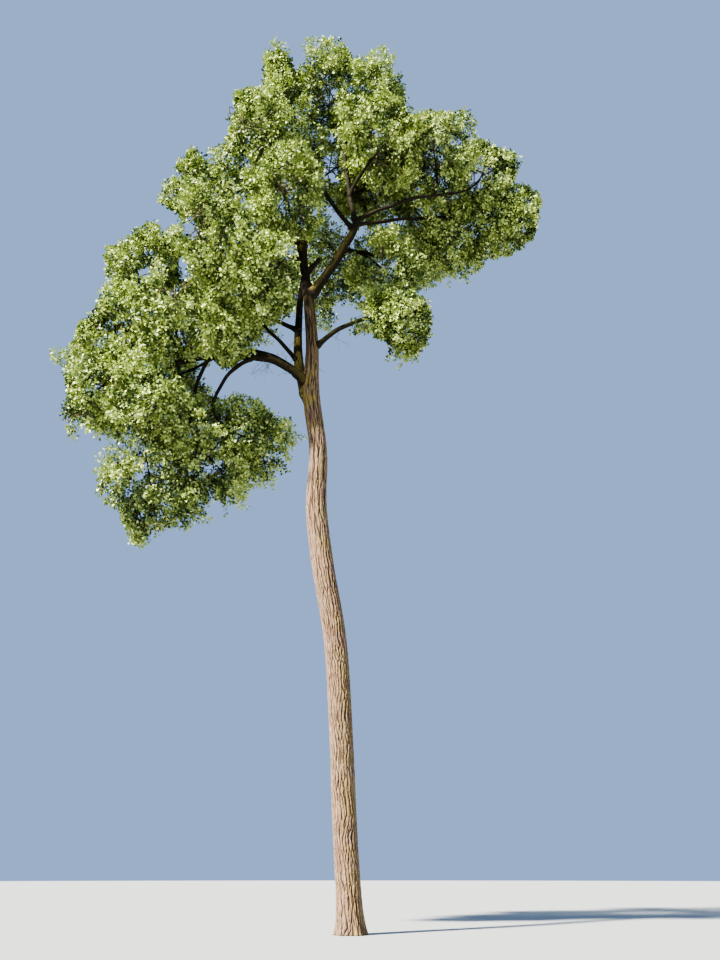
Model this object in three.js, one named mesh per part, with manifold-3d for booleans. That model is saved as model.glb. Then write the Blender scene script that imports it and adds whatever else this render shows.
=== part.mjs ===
// A tall poplar with one leaning trunk, a forked crown and drooping left side.
// Millimetres, +Z up. The origin is the middle of the flat cut at ground level.
// +X points along the short side of the crown and -X along the long, drooping side;
// -Y is the side that the visible limbs are seen from.

import * as THREE from "three";
import { mergeVertices } from "three/addons/utils/BufferGeometryUtils.js";
import Module from "manifold-3d";

const wasm = await Module();
wasm.setup();

// Gap between two pieces that touch
const CLEAR = 0.4;

// The trunk's axis and radius at a few heights, from the ground to its fork
const TRUNK = [
  { height: 0, lean: 0, sway: 0, radius: 345 },
  { height: 2700, lean: -180, sway: -20, radius: 348 },
  { height: 5200, lean: -300, sway: -60, radius: 343 },
  { height: 8000, lean: -500, sway: -60, radius: 345 },
  { height: 10500, lean: -930, sway: 0, radius: 350 },
  { height: 12400, lean: -1150, sway: 60, radius: 335 },
  { height: 14300, lean: -1120, sway: 60, radius: 292 },
  { height: 16300, lean: -1380, sway: 0, radius: 285 },
  { height: 18200, lean: -1390, sway: -60, radius: 215 },
  { height: 20400, lean: -1580, sway: 0, radius: 175 },
];
const TRUNK_SIDES = 18;
const TRUNK_RINGS = 16;

// Root flare: how far it stands out, how fast it dies away upwards, and its lobes
const FLARE = 105;
const FLARE_FALL = 380;
const BUTTRESSES = 6;
const BUTTRESS_DEPTH = 0.11;

// Boughs. A heading is degrees in plan from +X towards +Y, and a rise is degrees above level.
// Along the bough the heading changes by turn and the rise drops by arch.
// The foot is a height on the trunk, or a share of another bough's length.
const BOUGHS = [
  { name: "stem_left", on: "trunk", height: 15900, heading: 140, turn: -80, rise: 63, arch: -20, length: 6500, thick: 205, thin: 90 },
  { name: "arm_left", on: "trunk", height: 20150, heading: 180, turn: -25, rise: 80, arch: -6, length: 2400, thick: 158, thin: 150 },
  { name: "arm_right", on: "trunk", height: 20100, heading: -8, turn: 0, rise: 52, arch: -18, length: 3650, thick: 165, thin: 128 },
  { name: "stub_broken", on: "arm_left", along: 0.38, heading: -20, turn: 0, rise: 46, arch: 4, length: 800, thick: 95, thin: 80 },
  { name: "crown_leader", on: "arm_right", along: 0.93, heading: 150, turn: -60, rise: 78, arch: -6, length: 5200, thick: 92, thin: 45 },
  { name: "crown_left", on: "arm_right", along: 0.86, heading: 180, turn: 10, rise: 52, arch: -26, length: 5300, thick: 86, thin: 40 },
  { name: "limb_right_upper", on: "arm_right", along: 0.97, heading: -14, turn: 8, rise: 24, arch: 24, length: 3500, thick: 78, thin: 46 },
  { name: "limb_right_lower", on: "arm_right", along: 0.92, heading: 16, turn: 4, rise: 20, arch: 2, length: 3500, thick: 74, thin: 42 },
  { name: "limb_right_low", on: "trunk", height: 17950, heading: -10, turn: 0, rise: 50, arch: 48, length: 2700, thick: 98, thin: 54 },
  { name: "limb_left_lower", on: "trunk", height: 16550, heading: 188, turn: 4, rise: 56, arch: 62, length: 2500, thick: 155, thin: 108 },
  { name: "limb_left_lower_outer", on: "limb_left_lower", along: 0.97, heading: 186, turn: 10, rise: -4, arch: 12, length: 2500, thick: 92, thin: 56 },
  { name: "limb_droop", on: "limb_left_lower", along: 0.9, heading: 200, turn: -30, rise: -28, arch: 58, length: 2500, thick: 72, thin: 48 },
  { name: "limb_fall", on: "limb_left_lower_outer", along: 0.55, heading: 160, turn: 0, rise: -62, arch: 30, length: 2400, thick: 66, thin: 44 },
  { name: "limb_left_drop", on: "limb_left_lower_outer", along: 0.8, heading: 200, turn: -6, rise: -26, arch: 16, length: 1900, thick: 64, thin: 44 },
  { name: "limb_left_upper", on: "stem_left", along: 0.2, heading: 182, turn: -6, rise: 56, arch: 54, length: 2500, thick: 135, thin: 92 },
  { name: "limb_left_upper_outer", on: "limb_left_upper", along: 0.96, heading: 178, turn: 4, rise: 6, arch: 12, length: 2700, thick: 84, thin: 54 },
  { name: "limb_left_high", on: "limb_left_upper_outer", along: 0.5, heading: 172, turn: 0, rise: 44, arch: -10, length: 2300, thick: 62, thin: 42 },
  { name: "limb_left_far", on: "limb_left_upper_outer", along: 0.95, heading: 184, turn: 0, rise: -2, arch: 16, length: 1500, thick: 50, thin: 40 },
  { name: "limb_front_low", on: "stem_left", along: 0.34, heading: 215, turn: 10, rise: 40, arch: 20, length: 2100, thick: 80, thin: 46 },
  { name: "limb_front", on: "arm_left", along: 0.62, heading: 212, turn: 6, rise: 4, arch: 22, length: 2300, thick: 84, thin: 48 },
  { name: "limb_knob", on: "arm_left", along: 0.88, heading: 194, turn: -8, rise: 22, arch: -14, length: 3000, thick: 86, thin: 46 },
  { name: "limb_riser", on: "arm_left", along: 0.93, heading: 216, turn: -10, rise: 66, arch: -4, length: 2300, thick: 88, thin: 50 },
  { name: "limb_back", on: "stem_left", along: 0.86, heading: 72, turn: 10, rise: 40, arch: 14, length: 2500, thick: 88, thin: 52 },
  { name: "limb_back_left", on: "stem_left", along: 0.6, heading: 142, turn: 8, rise: 38, arch: 8, length: 3300, thick: 90, thin: 50 },
  { name: "limb_back_right", on: "arm_right", along: 0.6, heading: 62, turn: -8, rise: 34, arch: 16, length: 2900, thick: 84, thin: 48 },
  { name: "limb_back_low", on: "limb_left_upper_outer", along: 0.25, heading: 128, turn: 26, rise: 4, arch: 14, length: 2700, thick: 66, thin: 44 },
];
const BOUGH_SIDES = 6;
const BOUGH_RINGS = 4;
const BOUGH_TURNS = 18;
// A bough is crooked: its heading and rise wander this many degrees
const CROOK = 7;
const CROOK_WAVES = 1.6;
// A bough swells where it leaves its parent
const COLLAR = 0.22;
const COLLAR_SHARE = 0.07;

// Masses of foliage: the bough each grows from, and the middle and half-widths of its space
const MASSES = [
  { name: "foliage_top", on: "crown_leader", along: 1, centre: [-1050, 250, 29900], size: [1350, 1500, 2200] },
  { name: "foliage_top_left", on: "crown_left", along: 1, centre: [-2850, 200, 29950], size: [760, 1050, 1650] },
  { name: "foliage_top_right", on: "crown_leader", along: 0.8, centre: [800, -500, 28250], size: [1350, 1600, 1600] },
  { name: "foliage_top_back", on: "crown_leader", along: 0.5, centre: [-900, 2100, 27400], size: [1800, 1800, 1850] },
  { name: "foliage_upper_left", on: "crown_left", along: 0.66, centre: [-3700, -500, 27550], size: [1250, 1500, 1300] },
  { name: "foliage_centre_high", on: "limb_riser", along: 1, centre: [-3150, -1500, 25200], size: [1700, 2000, 1700] },
  { name: "foliage_centre_left", on: "limb_knob", along: 1, centre: [-5300, -500, 24050], size: [1600, 1900, 1700] },
  { name: "foliage_centre_front", on: "limb_riser", along: 0.55, centre: [-2300, -2000, 23000], size: [1300, 1700, 1500] },
  { name: "foliage_centre_low", on: "limb_front", along: 1, centre: [-4400, -2300, 20950], size: [1600, 2000, 1650] },
  { name: "foliage_front_low", on: "limb_front_low", along: 1, centre: [-2800, -2200, 19400], size: [1100, 1500, 1250] },
  { name: "foliage_window", on: "limb_left_upper_outer", along: 0.12, centre: [-4200, -900, 18150], size: [1000, 1300, 1100] },
  { name: "foliage_right_inner", on: "crown_leader", along: 0.25, centre: [1250, -1400, 25850], size: [1450, 1800, 1400] },
  { name: "foliage_right", on: "limb_right_upper", along: 0.8, centre: [2950, -900, 25550], size: [1400, 1900, 1600] },
  { name: "foliage_right_outer", on: "limb_right_upper", along: 1, centre: [4850, 300, 25750], size: [1450, 1700, 1600] },
  { name: "foliage_right_tip", on: "limb_right_lower", along: 1, centre: [5800, 500, 23950], size: [1200, 1300, 1100] },
  { name: "foliage_right_under", on: "limb_right_lower", along: 0.8, centre: [3900, 1500, 23700], size: [1450, 1600, 1150] },
  { name: "foliage_right_low", on: "limb_right_low", along: 1, centre: [1500, -200, 19050], size: [1350, 1400, 1100] },
  { name: "foliage_right_back", on: "limb_back_right", along: 0.5, centre: [1250, 1400, 22100], size: [1500, 1450, 1450] },
  { name: "foliage_right_mid", on: "crown_leader", along: 0.2, centre: [800, 1300, 26000], size: [1350, 1200, 1350] },
  { name: "foliage_left_high", on: "limb_left_high", along: 1, centre: [-7350, 500, 21750], size: [1500, 1700, 1450] },
  { name: "foliage_left_inner", on: "limb_left_upper_outer", along: 0.75, centre: [-5850, -1500, 18500], size: [1400, 1800, 1450] },
  { name: "foliage_left_far", on: "limb_left_far", along: 1, centre: [-8250, 200, 18950], size: [1600, 1800, 1500] },
  { name: "foliage_left_tip", on: "limb_left_far", along: 0.7, centre: [-8600, 0, 16400], size: [1550, 1600, 1750] },
  { name: "foliage_left_drop", on: "limb_left_drop", along: 1, centre: [-6550, -900, 15650], size: [1500, 1700, 1500] },
  { name: "foliage_left_lowest", on: "limb_left_drop", along: 0.62, centre: [-6500, 100, 13050], size: [1600, 1600, 1750] },
  { name: "foliage_fall", on: "limb_fall", along: 1, centre: [-4850, 500, 14350], size: [1300, 1500, 1850] },
  { name: "foliage_droop", on: "limb_droop", along: 1, centre: [-3400, 700, 15000], size: [1150, 1400, 1300] },
  { name: "foliage_back", on: "limb_back", along: 1, centre: [-1000, 3800, 23700], size: [2200, 2100, 2200] },
  { name: "foliage_back_left", on: "limb_back_left", along: 1, centre: [-4800, 3500, 22300], size: [2050, 2100, 1950] },
  { name: "foliage_back_right", on: "limb_back_right", along: 1, centre: [2500, 3400, 25200], size: [2000, 2000, 1800] },
  { name: "foliage_back_low", on: "limb_back_low", along: 1, centre: [-6900, 3100, 17900], size: [1950, 1950, 1850] },
];
// Free way kept between two masses, and between a twig or leaf and a limb
const SPACE_GAP = 60;
const LIMB_GAP = 60;
const BALL_STEP = 100;

// Stem of a mass, and the twigs that it carries
const STEM_THICK = 76;
const STEM_THIN = 46;
const STEM_SIDES = 4;
const STEM_RING_STEP = 650;
const STEM_REACH = 0.5;
const STEM_BEND_TIP = 0.4;
const STEM_BEND_SIDE = 0.25;
const TWIGS = 5;
const TWIG_THICK = 29;
const TWIG_THIN = 23;
const TWIG_SIDES = 3;
const TWIG_RINGS = 1;
const TWIG_FEET = [0.5, 0.94];
const TWIG_REACH = [0.6, 0.8];
const GOLDEN_TURN = Math.PI * (3 - Math.sqrt(5));

// A leaf stands for a spray. Its sizes are shares of its length, which follows from its mass
const LEAF = { width: 1.25, thick: 0.026, shoulder: 0.48, ridge: 0.2, sink: 0.008 };
const LEAF_LENGTHS = [1.0, 0.82, 0.66];
// Where a twig's leaves stand along it, and how close to its line one may point
const LEAF_SHARES = [1, 0.8, 0.6, 0.4];
const STEM_LEAF_SHARES = [1, 0.6];
const LEAF_TIP_SPREAD = 0.25;
const LEAF_SIDE_SPREAD = 0.6;
const LEAF_TRIES = 70;
// Free way kept between two leaves, and the rows of points that it is tested with
const LEAF_GAP = 110;
const LEAF_ROWS = 7;
// Within this share of its length from its root a leaf may lie against its own twigs
const LEAF_ROOT = 0.3;

// Vertices nearer than this after a cut or join become one
const SMOOTH = 0.05;

// A repeatable stream of numbers from 0 to 1
function seeded(seed) {
  let state = seed;
  return () => {
    state = (state * 1664525 + 1013904223) % 4294967296;
    return state / 4294967296;
  };
}

function mix(low, high, share) {
  return low + (high - low) * share;
}

function direction(heading, rise) {
  const turn = THREE.MathUtils.degToRad(heading);
  const tilt = THREE.MathUtils.degToRad(rise);
  return new THREE.Vector3(
    Math.cos(turn) * Math.cos(tilt),
    Math.sin(turn) * Math.cos(tilt),
    Math.sin(tilt),
  );
}

// A closed three.js geometry as a solid that can be cut and joined
function solidOf(geometry) {
  geometry.deleteAttribute("normal");
  geometry.deleteAttribute("uv");
  const merged = mergeVertices(geometry, 1e-3);
  return new wasm.Manifold(
    new wasm.Mesh({
      numProp: 3,
      vertProperties: new Float32Array(merged.attributes.position.array),
      triVerts: new Uint32Array(merged.index.array),
    }),
  );
}

// The largest body of a solid, with loose scraps dropped and sealed hollows filled
function oneBody(solid) {
  const bodies = solid.simplify(SMOOTH).decompose();
  return bodies.reduce((best, body) => (body.volume() > best.volume() ? body : best));
}

function meshOf(name, solid, colour, anchor) {
  const { vertProperties, triVerts } = solid.getMesh();
  const geometry = new THREE.BufferGeometry();
  geometry.setAttribute("position", new THREE.BufferAttribute(new Float32Array(vertProperties), 3));
  geometry.setIndex(new THREE.BufferAttribute(new Uint32Array(triVerts), 1));
  geometry.translate(-anchor.x, -anchor.y, -anchor.z);
  geometry.computeVertexNormals();
  const material = new THREE.MeshStandardMaterial({ color: colour, roughness: 0.9, metalness: 0 });
  const mesh = new THREE.Mesh(geometry, material);
  mesh.name = name;
  mesh.position.copy(anchor);
  return mesh;
}

// A cylinder bent along a limb, its rings sized by radiusAt(share, angle) and grown by grow
function limbSolid(limb, grow = 0) {
  const { curve, radiusAt, sides, rings } = limb;
  const geometry = new THREE.CylinderGeometry(1, 1, 1, sides, rings);
  const frames = limb.level ? null : curve.computeFrenetFrames(rings);
  const place = geometry.attributes.position;
  for (let i = 0; i < place.count; i++) {
    const share = place.getY(i) + 0.5;
    const ring = Math.round(share * rings);
    const side = frames ? frames.normals[ring] : new THREE.Vector3(1, 0, 0);
    const ahead = frames ? frames.tangents[ring] : new THREE.Vector3(0, 0, 1);
    const across = side.clone().cross(ahead);
    const onAxis = Math.hypot(place.getX(i), place.getZ(i)) < 0.5;
    const angle = Math.atan2(place.getZ(i), place.getX(i));
    const radius = onAxis ? 0 : radiusAt(share, angle) + grow;
    const end = ring === 0 ? -grow : ring === rings ? grow : 0;
    const point = limb.level ? curve.getPoint(share) : curve.getPointAt(share);
    point.addScaledVector(side, radius * Math.cos(angle));
    point.addScaledVector(across, radius * Math.sin(angle));
    point.addScaledVector(ahead, end);
    place.setXYZ(i, point.x, point.y, point.z);
  }
  return solidOf(geometry);
}

// The trunk: level rings on a swaying axis, with a lobed flare at the root
function trunkLimb() {
  const curve = new THREE.CatmullRomCurve3(
    TRUNK.map((s) => new THREE.Vector3(s.lean, s.sway, s.height)),
    false,
    "catmullrom",
  );
  const girth = new THREE.SplineCurve(TRUNK.map((s) => new THREE.Vector2(s.height, s.radius)));
  const radiusAt = (share, angle) => {
    const { x: height, y: radius } = girth.getPoint(share);
    const fall = Math.exp(-height / FLARE_FALL);
    const lobe = 1 + BUTTRESS_DEPTH * fall * Math.cos(BUTTRESSES * angle);
    return (radius + FLARE * fall) * lobe;
  };
  return { name: "trunk", curve, radiusAt, sides: TRUNK_SIDES, rings: TRUNK_RINGS, level: true };
}

// Where a height on the trunk lies along its curve
function shareAtHeight(curve, height) {
  let low = 0;
  let high = 1;
  for (let i = 0; i < 40; i++) {
    const middle = (low + high) / 2;
    if (curve.getPoint(middle).z < height) low = middle;
    else high = middle;
  }
  return low;
}

// A bough: a crooked axis that turns and arches steadily, and a taper with a collar
function boughLimb(spec, index, limbs) {
  const parent = limbs.get(spec.on);
  const foot =
    spec.height === undefined
      ? parent.curve.getPointAt(spec.along)
      : parent.curve.getPoint(shareAtHeight(parent.curve, spec.height));
  const points = [foot];
  for (let i = 0; i < BOUGH_TURNS; i++) {
    const share = (i + 0.5) / BOUGH_TURNS;
    const wave = 2 * Math.PI * (CROOK_WAVES * share) + index;
    const heading = spec.heading + spec.turn * share + CROOK * share * Math.sin(wave);
    const rise = spec.rise - spec.arch * share + CROOK * share * Math.cos(1.7 * wave);
    const step = spec.length / BOUGH_TURNS;
    points.push(points[i].clone().addScaledVector(direction(heading, rise), step));
  }
  const radiusAt = (share) => {
    const collar = 1 + COLLAR * Math.exp(-share / COLLAR_SHARE);
    return mix(spec.thick, spec.thin, share) * collar;
  };
  const curve = new THREE.CatmullRomCurve3(points);
  return { name: spec.name, curve, radiusAt, sides: BOUGH_SIDES, rings: BOUGH_RINGS };
}

// The stem inside a mass: it leaves its bough along the bough and runs on past the mass's middle
function stemLimb(spec, limbs) {
  const parent = limbs.get(spec.on);
  const centre = new THREE.Vector3(...spec.centre);
  const foot = parent.curve.getPointAt(spec.along);
  const ahead = parent.curve.getTangentAt(spec.along);
  const early = spec.along === 1 ? STEM_BEND_TIP : STEM_BEND_SIDE;
  const bend = foot.clone().addScaledVector(ahead, foot.distanceTo(centre) * early);
  const way = centre.clone().sub(bend).normalize();
  const reach = STEM_REACH / Math.hypot(...way.toArray().map((v, i) => v / spec.size[i]));
  const tip = centre.clone().addScaledVector(way, reach);
  const curve = new THREE.QuadraticBezierCurve3(foot, bend, tip);
  const thick = Math.min(parent.radiusAt(spec.along, 0) * 0.94, STEM_THICK);
  const radiusAt = (share) => mix(thick, STEM_THIN, share);
  const rings = Math.ceil(curve.getLength() / STEM_RING_STEP);
  return { name: spec.name, curve, radiusAt, sides: STEM_SIDES, rings };
}

// Rows of balls along each limb, to test twigs and leaves against
function ballsAlong(limb) {
  const count = Math.ceil(limb.curve.getLength() / BALL_STEP);
  return Array.from({ length: count + 1 }, (_, i) => ({
    limb: limb.name,
    point: limb.curve.getPointAt(i / count),
    radius: limb.radiusAt(i / count, 0),
  }));
}

// The space of one mass: an ellipsoid, cut by a plane towards each other mass
function spaceOf(spec) {
  const centre = new THREE.Vector3(...spec.centre);
  const reachOf = (mass, way) => 1 / Math.hypot(...way.toArray().map((v, i) => v / mass.size[i]));
  const planes = MASSES.filter((other) => other !== spec).map((other) => {
    const way = new THREE.Vector3(...other.centre).sub(centre);
    const apart = way.length();
    way.normalize();
    const share = reachOf(spec, way) / (reachOf(spec, way) + reachOf(other, way));
    const edge = centre.clone().addScaledVector(way, apart * share - SPACE_GAP / 2);
    return new THREE.Plane().setFromNormalAndCoplanarPoint(way, edge);
  });
  const holds = (point) => {
    const depths = point.toArray().map((v, i) => (v - spec.centre[i]) / spec.size[i]);
    return Math.hypot(...depths) <= 1 && planes.every((plane) => plane.distanceToPoint(point) < 0);
  };
  return { centre, holds };
}

// Whether all of the points keep clear of a row of balls
function isClear(points, balls, gap) {
  return balls.every(({ point, radius }) => {
    const least = (radius + gap) ** 2;
    return points.every((p) => p.distanceToSquared(point) > least);
  });
}

// Whether a leaf keeps clear of a row of balls, measured from its two pairs of edges
function isLeafClear(frame, length, balls, gap) {
  const toLeaf = frame.clone().invert();
  const half = LEAF.width / 2;
  const place = new THREE.Vector3();
  return balls.every(({ point, radius }) => {
    const least = (radius + gap) / length;
    place.copy(point).applyMatrix4(toLeaf);
    if (Math.abs(place.z) > least) return true;
    const x = Math.abs(place.x);
    const beforeBase = (x * LEAF.shoulder - place.y * half) / Math.hypot(LEAF.shoulder, half);
    const upper = 1 - LEAF.shoulder;
    const beyondTip = (x * upper + (place.y - 1) * half) / Math.hypot(upper, half);
    return Math.max(beforeBase, beyondTip) > least;
  });
}

function jitter(way, amount, next) {
  way.x += amount * (next() - 0.5);
  way.y += amount * (next() - 0.5);
  way.z += amount * (next() - 0.5);
  return way.normalize();
}

// The frame of a leaf of this length: across, along and out of its blade
function leafFrame(base, along, outward, length) {
  const across = along.clone().cross(outward).normalize();
  const normal = across.clone().cross(along).normalize();
  const sunk = base.clone().addScaledVector(along, -LEAF.sink * length);
  const turn = new THREE.Matrix4().makeBasis(across, along, normal);
  return turn.setPosition(sunk).scale(new THREE.Vector3(length, length, length));
}

// An octahedron drawn out into a deltoid blade: base, two shoulders, tip and a low ridge
function leafSolid(frame) {
  const geometry = new THREE.OctahedronGeometry(1);
  const place = geometry.attributes.position;
  for (let i = 0; i < place.count; i++) {
    const [x, y, z] = [place.getX(i), place.getY(i), place.getZ(i)];
    const share = Math.abs(x) > 0.5 ? LEAF.shoulder : Math.abs(z) > 0.5 ? LEAF.ridge : (y + 1) / 2;
    place.setXYZ(i, (x * LEAF.width) / 2, share, (z * LEAF.thick) / 2);
  }
  return solidOf(geometry.applyMatrix4(frame));
}

// Points spread over the blade, that later leaves keep clear of
function leafBalls(frame) {
  const balls = [];
  for (let row = 0; row <= LEAF_ROWS; row++) {
    const share = row / LEAF_ROWS;
    const half = share < LEAF.shoulder ? share / LEAF.shoulder : (1 - share) / (1 - LEAF.shoulder);
    for (const side of [-1, -0.5, 0, 0.5, 1]) {
      const point = new THREE.Vector3((side * half * LEAF.width) / 2, share, 0);
      balls.push({ point: point.applyMatrix4(frame), radius: 0 });
    }
  }
  return balls;
}

// A leaf at one place on a twig: of many tries that fit, the one with the most room round it
function placeLeaf(twig, share, mass) {
  const { space, next, taken } = mass;
  const base = twig.curve.getPointAt(share);
  const tangent = twig.curve.getTangentAt(share);
  const corners = [[-0.5, LEAF.shoulder], [0.5, LEAF.shoulder], [0, 1]];
  if (!space.holds(base)) return [];
  let best = null;
  for (let tries = 0; tries < LEAF_TRIES * LEAF_LENGTHS.length; tries++) {
    if (best && tries % LEAF_TRIES === 0) break;
    const length = mass.leafLength * LEAF_LENGTHS[Math.floor(tries / LEAF_TRIES)];
    const along = jitter(tangent.clone().multiplyScalar(0.5), 2.4, next);
    const facing = jitter(base.clone().sub(space.centre).normalize(), 1.8, next);
    const lean = along.dot(tangent);
    if (share === 1 ? lean < LEAF_TIP_SPREAD : Math.abs(lean) > LEAF_SIDE_SPREAD) continue;
    const frame = leafFrame(base, along, facing, length);
    const ends = corners.map(([x, y]) => new THREE.Vector3(x * LEAF.width, y, 0).applyMatrix4(frame));
    if (!ends.every(space.holds)) continue;
    const room = Math.min(...taken.map(({ point }) => point.distanceTo(ends[2])));
    if (best && best.room > room) continue;
    const own = mass.own.filter(({ point }) => point.distanceTo(base) > LEAF_ROOT * length);
    if (!isLeafClear(frame, length, mass.limbs, LIMB_GAP)) continue;
    if (!isLeafClear(frame, length, own, 0)) continue;
    if (!isLeafClear(frame, length, taken, LEAF_GAP)) continue;
    best = { room, frame };
  }
  if (!best) return [];
  taken.push(...leafBalls(best.frame));
  return [leafSolid(best.frame)];
}

// Twigs from the stem to points spread evenly over the space, each clear of the other limbs
function twigsOf(spec, index, stem, mass) {
  const size = new THREE.Vector3(...spec.size);
  const ahead = stem.curve.getTangentAt(1);
  const ways = Array.from({ length: TWIGS }, (_, k) => {
    const level = 1 - (2 * (k + 0.5)) / TWIGS;
    const turn = k * GOLDEN_TURN + index;
    const flat = Math.sqrt(1 - level * level);
    return new THREE.Vector3(flat * Math.cos(turn), flat * Math.sin(turn), level);
  });
  ways.sort((a, b) => a.dot(ahead) - b.dot(ahead));
  const twigs = ways.map((way, rank) => {
    const reach = mix(...TWIG_REACH, mass.next());
    const tip = mass.space.centre.clone().addScaledVector(way.clone().multiply(size), reach);
    const foot = stem.curve.getPointAt(mix(...TWIG_FEET, rank / (TWIGS - 1)));
    const bend = foot.clone().lerp(tip, 0.5).addScaledVector(ahead, foot.distanceTo(tip) * 0.12);
    const curve = new THREE.QuadraticBezierCurve3(foot, bend, tip);
    const radiusAt = (share) => mix(TWIG_THICK, TWIG_THIN, share);
    return { name: spec.name, curve, radiusAt, sides: TWIG_SIDES, rings: TWIG_RINGS };
  });
  return twigs.filter((twig) => {
    const points = ballsAlong(twig).map((ball) => ball.point);
    return points.every(mass.space.holds) && isClear(points, mass.limbs, TWIG_THICK + LIMB_GAP);
  });
}

// One mass: its stem, twigs and leaves joined into one body
function growMass(spec, index, stem, stemSolid, balls) {
  const space = spaceOf(spec);
  const widest = Math.max(...spec.size);
  const near = balls.filter((ball) => ball.point.distanceTo(space.centre) < 1.5 * widest);
  const mass = {
    space,
    next: seeded(index * 7919 + 17),
    leafLength: (spec.size[0] + spec.size[1] + spec.size[2]) / 3,
    limbs: near.filter((ball) => ball.limb !== spec.name),
    taken: [],
  };
  const pieces = [stemSolid];
  const twigs = twigsOf(spec, index, stem, mass);
  mass.own = [stem, ...twigs].flatMap(ballsAlong);
  pieces.push(...twigs.map((twig) => limbSolid(twig)));
  for (const share of STEM_LEAF_SHARES) pieces.push(...placeLeaf(stem, share, mass));
  for (const share of LEAF_SHARES) {
    for (const twig of twigs) pieces.push(...placeLeaf(twig, share, mass));
  }
  return oneBody(wasm.Manifold.union(pieces));
}

const BARK = 0x7a6a58;
const LEAF_GREEN = 0x7c9440;

const tree = new THREE.Group();
const limbs = new Map();
const cutters = [];

// A limb's solid, clear of every limb made before it
function clearSolid(limb) {
  const solid = cutters.reduce((rest, cutter) => rest.subtract(cutter), limbSolid(limb));
  cutters.push(limbSolid(limb, CLEAR));
  return oneBody(solid);
}

function addLimb(limb) {
  limbs.set(limb.name, limb);
  tree.add(meshOf(limb.name, clearSolid(limb), BARK, limb.curve.getPoint(0)));
}

addLimb(trunkLimb());
BOUGHS.forEach((spec, index) => addLimb(boughLimb(spec, index, limbs)));

const stems = MASSES.map((spec) => stemLimb(spec, limbs));
const stemSolids = stems.map(clearSolid);
const balls = [...limbs.values(), ...stems].flatMap(ballsAlong);
MASSES.forEach((spec, index) => {
  const solid = growMass(spec, index, stems[index], stemSolids[index], balls);
  tree.add(meshOf(spec.name, solid, LEAF_GREEN, stems[index].curve.getPoint(0)));
});

export default tree;
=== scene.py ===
# A tall poplar. Bark with real furrows stands for the trunk and boughs, and twigs and leaves
# grow on from the limbs by the rule of the part's source. Metres, +Z up, with the middle of
# the trunk's foot at the origin.
import itertools
import math
from collections import namedtuple

import bpy
import numpy as np
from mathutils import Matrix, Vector


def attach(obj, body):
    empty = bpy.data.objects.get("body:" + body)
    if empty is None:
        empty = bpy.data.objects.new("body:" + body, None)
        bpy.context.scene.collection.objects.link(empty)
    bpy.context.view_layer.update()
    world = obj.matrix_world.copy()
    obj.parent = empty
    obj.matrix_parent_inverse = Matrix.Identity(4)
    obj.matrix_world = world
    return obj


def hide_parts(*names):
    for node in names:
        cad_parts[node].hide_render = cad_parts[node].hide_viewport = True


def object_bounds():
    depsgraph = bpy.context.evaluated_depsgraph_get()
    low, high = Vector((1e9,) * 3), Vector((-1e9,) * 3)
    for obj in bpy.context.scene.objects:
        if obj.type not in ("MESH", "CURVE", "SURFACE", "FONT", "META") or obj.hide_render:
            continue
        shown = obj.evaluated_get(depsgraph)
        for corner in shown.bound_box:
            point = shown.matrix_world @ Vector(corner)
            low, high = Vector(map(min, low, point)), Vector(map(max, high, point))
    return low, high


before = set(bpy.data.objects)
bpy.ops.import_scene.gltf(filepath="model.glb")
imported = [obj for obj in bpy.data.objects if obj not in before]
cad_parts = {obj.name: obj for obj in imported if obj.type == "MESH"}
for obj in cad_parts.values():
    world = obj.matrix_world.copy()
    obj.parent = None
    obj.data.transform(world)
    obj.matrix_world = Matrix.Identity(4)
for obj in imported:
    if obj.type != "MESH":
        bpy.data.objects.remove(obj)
cad_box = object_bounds()

# Camera: an eye's height above the ground, tilted up at the crown. The lens and the film's width
# are in millimetres.
EYE = 1.6
AWAY = 28.6
BESIDE = 0.243
TILT = math.radians(22.16)
LENS = 36
FILM = 36
FARTHEST_SEEN = 1000

# The trunk at a few heights: lean towards +X, sway towards +Y, height, radius
TRUNK = [
    (0.000, 0.000, 0.0, 0.345),
    (-0.180, -0.020, 2.7, 0.348),
    (-0.300, -0.060, 5.2, 0.343),
    (-0.500, -0.060, 8.0, 0.345),
    (-0.930, 0.000, 10.5, 0.350),
    (-1.150, 0.060, 12.4, 0.335),
    (-1.120, 0.060, 14.3, 0.292),
    (-1.380, 0.000, 16.3, 0.285),
    (-1.390, -0.060, 18.2, 0.215),
    (-1.580, 0.000, 20.4, 0.175),
]
# Root flare: how far it stands out, how fast it dies away upwards, and its lobes
FLARE = 0.105
FLARE_FALL = 0.38
BUTTRESSES = 6
BUTTRESS_DEPTH = 0.11

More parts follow.
